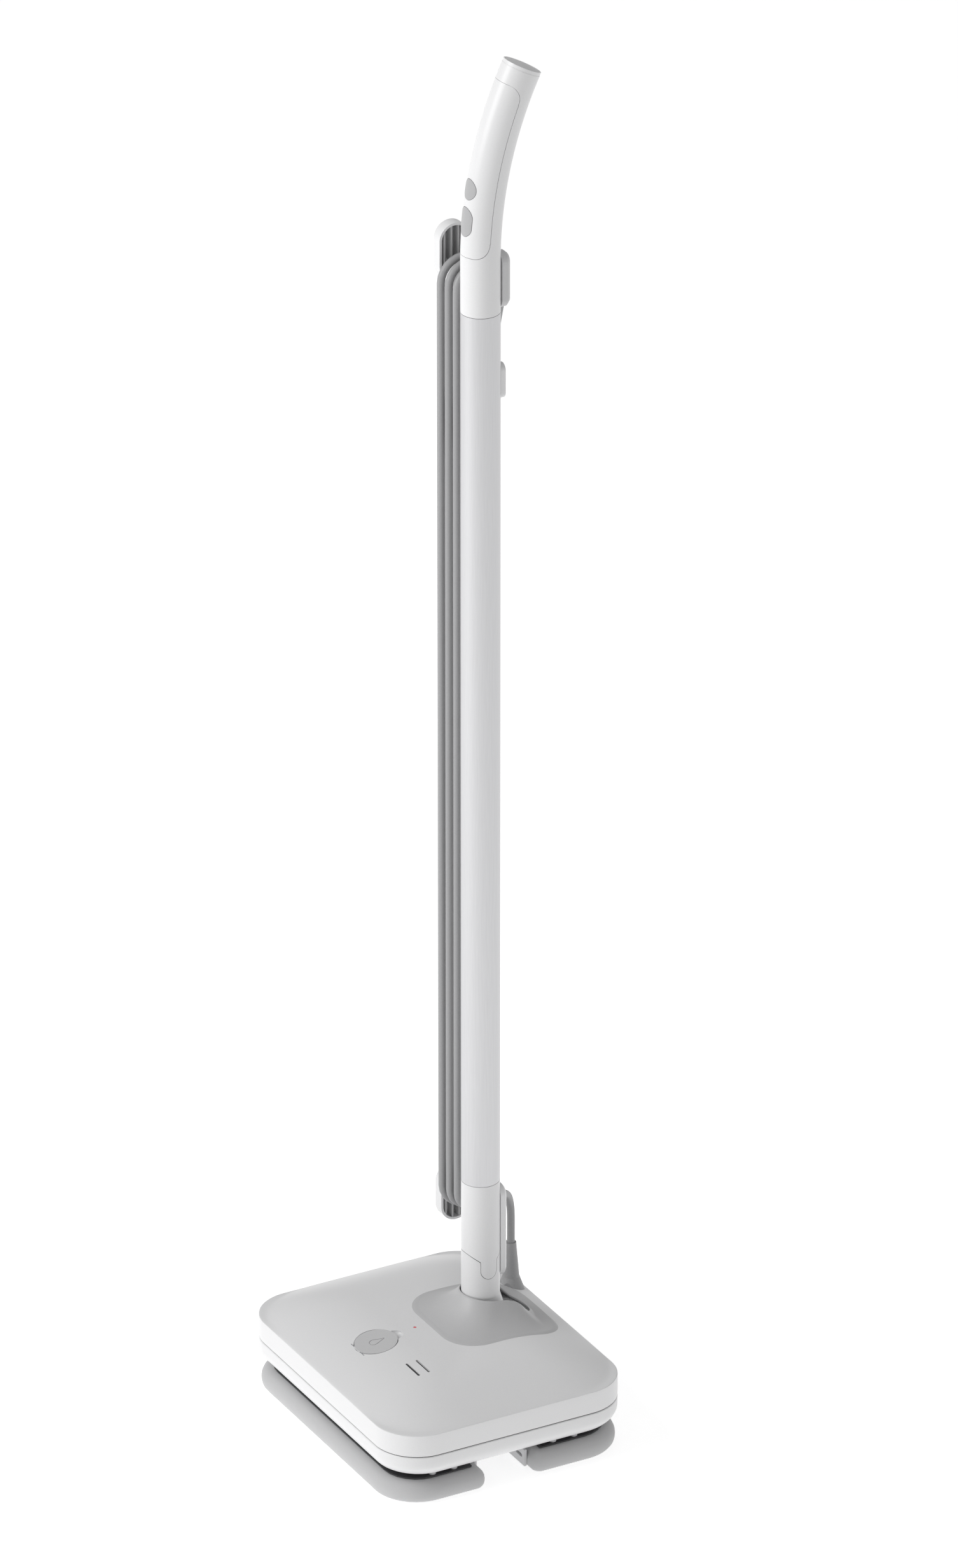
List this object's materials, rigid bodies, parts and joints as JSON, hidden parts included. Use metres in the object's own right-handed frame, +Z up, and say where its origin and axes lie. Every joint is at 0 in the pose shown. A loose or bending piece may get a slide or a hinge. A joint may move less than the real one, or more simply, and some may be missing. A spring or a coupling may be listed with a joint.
{
  "type": "steam mop",
  "caption": "Upright steam mop with a square white head on oscillating grey pads, a leaning metal pole, wound mains cord and a curved grip with buttons.",
  "frame": {"origin": "on the floor, under the centre of the model's box", "axes": "+Z up, -Y the front that the head leads with, +Y towards the user, +X to the user's left"},
  "size_m": [0.271, 0.22, 1.1882],
  "materials": {
    "white_shell": "satin moulded",
    "grey_plastic": "satin moulded",
    "pale_plastic": "moulded",
    "clear_tank": "clear moulded",
    "dark_plastic": "moulded",
    "steel": "plain",
    "copper": "drawn",
    "board_green": "lacquered",
    "tube_metal": "anodised, fine grain along the tube",
    "pad_fabric": "short pile microfibre",
    "cord_rubber": "matte",
    "seal_rubber": "matte",
    "led_red": "clear"
  },
  "bodies": {
    "head": {"lower_shell": "white_shell", "upper_shell": "white_shell", "cuff": "grey_plastic", "filler_well": "pale_plastic", "water_tank": "clear_tank", "tank_outlet": "pale_plastic", "water_pump": "dark_plastic", "boiler": "steel", "heating_element": "copper", "steam_pipes": "copper", "control_board": "board_green", "drive_motor": "steel", "crank_bearing": "steel", "pivot_blocks": "pale_plastic", "pivot_pin": "steel", "park_spring": "steel", "led_lens": "led_red", "steam_vents": "dark_plastic", "cable_boot": "cord_rubber", "head_screws": "steel", "cap_pin": "steel"},
    "pole": {"neck": "white_shell", "lower_fitting": "white_shell", "joint_screws": "steel", "cable_guide": "white_shell", "rear_cable": "cord_rubber", "tube": "tube_metal", "lower_hook": "white_shell", "lower_hook_fins": "dark_plastic", "handle_shell": "white_shell", "grip_panel": "white_shell", "end_cap": "grey_plastic", "cord_outlet": "grey_plastic", "hook_mount": "white_shell", "switch_board": "board_green", "latch_housing": "white_shell", "inner_lead": "cord_rubber", "strain_relief": "cord_rubber", "mains_cord_lead": "cord_rubber", "mains_cord_winding": "cord_rubber", "mains_cord_tail": "cord_rubber", "mains_plug": "cord_rubber", "plug_pins": "steel"},
    "filler_cap": {"filler_cap": "grey_plastic", "cap_seal": "seal_rubber"},
    "crank": {"crank_shaft": "steel"},
    "front_pad": {"front_plate": "dark_plastic", "front_rail": "pale_plastic", "front_pegs": "pale_plastic", "front_pad": "pad_fabric"},
    "rear_pad": {"rear_plate": "dark_plastic", "rear_rail": "pale_plastic", "rear_pegs": "pale_plastic", "rear_pad": "pad_fabric"},
    "upper_hook": {"upper_hook": "white_shell", "upper_hook_fins": "dark_plastic"},
    "power_button": {"power_button": "grey_plastic"},
    "steam_button": {"steam_button": "grey_plastic"},
    "latch_button": {"latch_button": "grey_plastic"}
  },
  "joints": [
    {"name": "lean", "type": "hinge", "parent": "head", "child": "pole", "pos_m": [0, 0.0405, 0.058], "axis": [-1, 0, 0], "range_deg": [0, 45], "deforming": ["rear_cable"]},
    {"name": "cap_hinge", "type": "hinge", "parent": "head", "child": "filler_cap", "pos_m": [0, -0.07407, 0.07749], "axis": [1, 0, 0], "range_deg": [0, 100]},
    {"name": "crank_turn", "type": "hinge", "parent": "head", "child": "crank", "pos_m": [0, -0.005, 0.035], "axis": [0, 0, 1], "continuous": true},
    {"name": "front_stroke", "type": "slide", "parent": "head", "child": "front_pad", "axis": [1, 0, 0], "range_m": [-0.0025, 0.0025]},
    {"name": "rear_stroke", "type": "slide", "parent": "head", "child": "rear_pad", "axis": [1, 0, 0], "range_m": [-0.0025, 0.0025]},
    {"name": "hook_swivel", "type": "hinge", "parent": "pole", "child": "upper_hook", "pos_m": [-0.0125, 0.0495, 0.988], "axis": [1, 0, 0], "range_deg": [0, 180]},
    {"name": "power_press", "type": "slide", "parent": "pole", "child": "power_button", "axis": [0, 0.9857, -0.1686], "range_m": [0, 0.0015], "stiffness_N_per_m": 300, "springref_m": -0.001},
    {"name": "steam_press", "type": "slide", "parent": "pole", "child": "steam_button", "axis": [0, 0.9954, -0.0957], "range_m": [0, 0.0015], "stiffness_N_per_m": 300, "springref_m": -0.001},
    {"name": "latch_press", "type": "slide", "parent": "pole", "child": "latch_button", "axis": [0, -1, 0], "range_m": [0, 0.0015], "stiffness_N_per_m": 300, "springref_m": -0.001}
  ],
  "couplings": [
    {"joint": "rear_stroke", "follows": "front_stroke", "ratio": -1}
  ]
}
